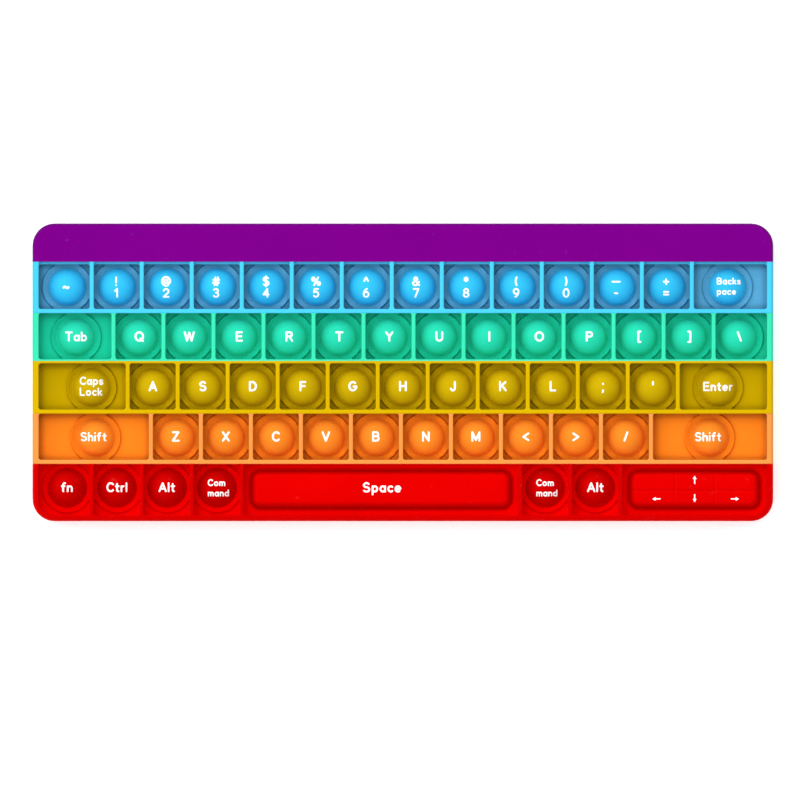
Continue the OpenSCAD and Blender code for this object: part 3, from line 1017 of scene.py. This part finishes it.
def make_pad(node, legends, grooves=((), ())):
    """A pad with the prints that legends(cx, cy, height) makes, and with grooves at the x and y
    given from its centre."""
    cx, cy = middle(node)
    hx, hy = PADS[node] / 2, PAD_D / 2
    xs, ys = marks(hx - PAD_R, grooves[0]), marks(hy - PAD_R, grooves[1])

    def inside(x, y):
        return -rect_distance(x - cx, y - cy, hx, hy, PAD_R)

    def height(x, y):
        s = inside(x, y)
        groove = np.zeros_like(s)
        for along, at, lines in ((x, cx, grooves[0]), (y, cy, grooves[1])):
            for g in lines:
                near = np.clip(1 - np.abs(along - at - g) / GROOVE_HALF, 0, 1)
                groove = np.maximum(groove, near)
        return pad_top(s) - GROOVE_DEEP * smooth_step(groove) * smooth_step(s - 1.5)

    def under(x, y):
        s = inside(x, y)
        rise = (pad_top(s) - 1.05 - UNDER) * smooth_step(s - 0.95) ** 0.8
        return np.where(s < 1.0, UNDER, UNDER + rise)

    def loop(s):
        """Points round the pad, s inside its foot, anticlockwise from the low left corner's arc."""
        rad = max(PAD_R - s, 0)
        sx, sy = hx - PAD_R + rad, hy - PAD_R + rad
        sides = ([(x, -sy) for x in xs[1:-1]], [(sx, y) for y in ys[1:-1]],
                 [(x, sy) for x in reversed(xs[1:-1])], [(-sx, y) for y in reversed(ys[1:-1])])
        pts = []
        for qx, qy, start, side in zip((-1, 1, 1, -1), (-1, -1, 1, 1), (180, 270, 0, 90), sides):
            for k in range(9):
                a = math.radians(start + 90 * k / 8)
                pts.append((qx * (hx - PAD_R) + rad * math.cos(a),
                            qy * (hy - PAD_R) + rad * math.sin(a)))
            pts += side
        return np.array(pts) + (cx, cy)

    pts, faces = [], []
    n = len(loop(0))
    w = len(xs)

    def add_side(steps, z_of, flip):
        """Adds the outer or inner surface: loops from its foot inwards, then a grid inside them."""
        start = sum(len(p) for p in pts)
        for s in steps:
            p = loop(s)
            pts.append(at_z(p, z_of(p[:, 0], p[:, 1])))
        quads = []
        for a in range(start, start + (len(steps) - 1) * n, n):
            b = a + n
            quads += [(a + j, a + (j + 1) % n, b + (j + 1) % n, b + j) for j in range(n)]
        base = start + len(steps) * n
        grid = np.array([(cx + x, cy + y) for y in ys for x in xs])
        pts.append(at_z(grid, z_of(grid[:, 0], grid[:, 1])))
        for j in range(len(ys) - 1):
            for a in range(base + j * w, base + (j + 1) * w - 1):
                quads.append((a, a + 1, a + w + 1, a + w))
        faces.extend(q[::-1] if flip else q for q in quads)
        return start

    top0 = add_side(PAD_UP, height, False)
    low0 = add_side(PAD_DOWN, under, True)
    for j in range(n):
        k = (j + 1) % n
        faces.append((top0 + k, top0 + j, low0 + j, low0 + k))
    mat_of = [0] * len(faces)
    for sign in legends(cx, cy, height):
        mat_of += [1] * add_part(pts, faces, sign)
    ob = mesh_object(node + "_top", np.concatenate(pts), faces, [pad_mat, white_ink], mat_of)
    clean(ob)
    x, y, _ = (np.array([v.co for v in ob.data.vertices]) / MM).T
    s = inside(x, y)
    # painted shade round the pad's foot
    body_blend(ob, node, pad_moat(-s))


make_pad("space_pad", lambda cx, cy, h: [legend("Space", cx + 0.4, cy + 0.6, h, 0.14)])
make_pad("arrow_pad", lambda cx, cy, h: [arrow(cx, cy + 4.0, 90, h), arrow(cx, cy - 3.6, 270, h),
                                         arrow(cx - 15.6, cy - 3.8, 180, h),
                                         arrow(cx + 16.4, cy - 3.8, 0, h)], ((-8.1, 8.1), (-0.45,)))

# ---------------------------------------------------------------- stage, light and camera
scene = bpy.context.scene
REACH = 5.0  # distance of the camera above the sheet's top, with a long lens for a flat view
VIEW = 0.3239  # width of the view at that distance
TABLE_HALF, TABLE_Z = 9000, -0.02  # the floor's half width, and its height just below the sheet

paper = Nodes("floor_paper")
paper.surface(Roughness=0.9, Specular__IOR__Level=0.1, Base__Color=(0.93, 0.93, 0.93, 1),
              Emission__Color=(1.0, 1.0, 1.0, 1), Emission__Strength=0.36)
corners = [(x * TABLE_HALF, y * TABLE_HALF, TABLE_Z)
           for x, y in ((-1, -1), (1, -1), (1, 1), (-1, 1))]
floor = mesh_object("floor", corners, [(0, 1, 2, 3)], [paper.mat])

# an even white room that is brighter over a wide patch towards the back left
world = bpy.data.worlds.new("studio")
scene.world = world
world.use_nodes = True
sky = world.node_tree
background = sky.nodes["Background"]
background.inputs["Color"].default_value = (1.0, 1.0, 1.0, 1)
way = sky.nodes.new("ShaderNodeTexCoord")
towards = sky.nodes.new("ShaderNodeVectorMath")
towards.operation = "DOT_PRODUCT"
towards.inputs[1].default_value = (-0.41, 0.41, 0.815)
patch = sky.nodes.new("ShaderNodeMapRange")
patch.interpolation_type = "SMOOTHSTEP"
for socket, value in {"From Min": 0.25, "From Max": 1.0, "To Min": 0.63, "To Max": 1.78}.items():
    patch.inputs[socket].default_value = value
sky.links.new(way.outputs["Generated"], towards.inputs[0])
sky.links.new(towards.outputs["Value"], patch.inputs["Value"])
sky.links.new(patch.outputs[0], background.inputs["Strength"])

# one soft lamp at the back left, aimed at the middle of the sheet
lamp = bpy.data.lights.new("key", "AREA")
lamp.shape, lamp.size, lamp.size_y = "RECTANGLE", 0.5, 0.5
lamp.energy = 3.2
key = bpy.data.objects.new("key", lamp)
scene.collection.objects.link(key)
key.location = (-0.5, 0.5, 1.3)
key.rotation_euler = (-key.location.normalized()).to_track_quat("-Z", "Y").to_euler()

camera = bpy.data.objects.new("camera", bpy.data.cameras.new("camera"))
scene.collection.objects.link(camera)
scene.camera = camera
camera.data.sensor_width = 36
camera.data.lens = camera.data.sensor_width * REACH / VIEW
camera.location = (-0.00115, -0.0112, REACH + THICK * MM)
camera.rotation_euler = (0, 0, 0)
camera.data.clip_end = 20
scene.view_settings.view_transform = "Standard"
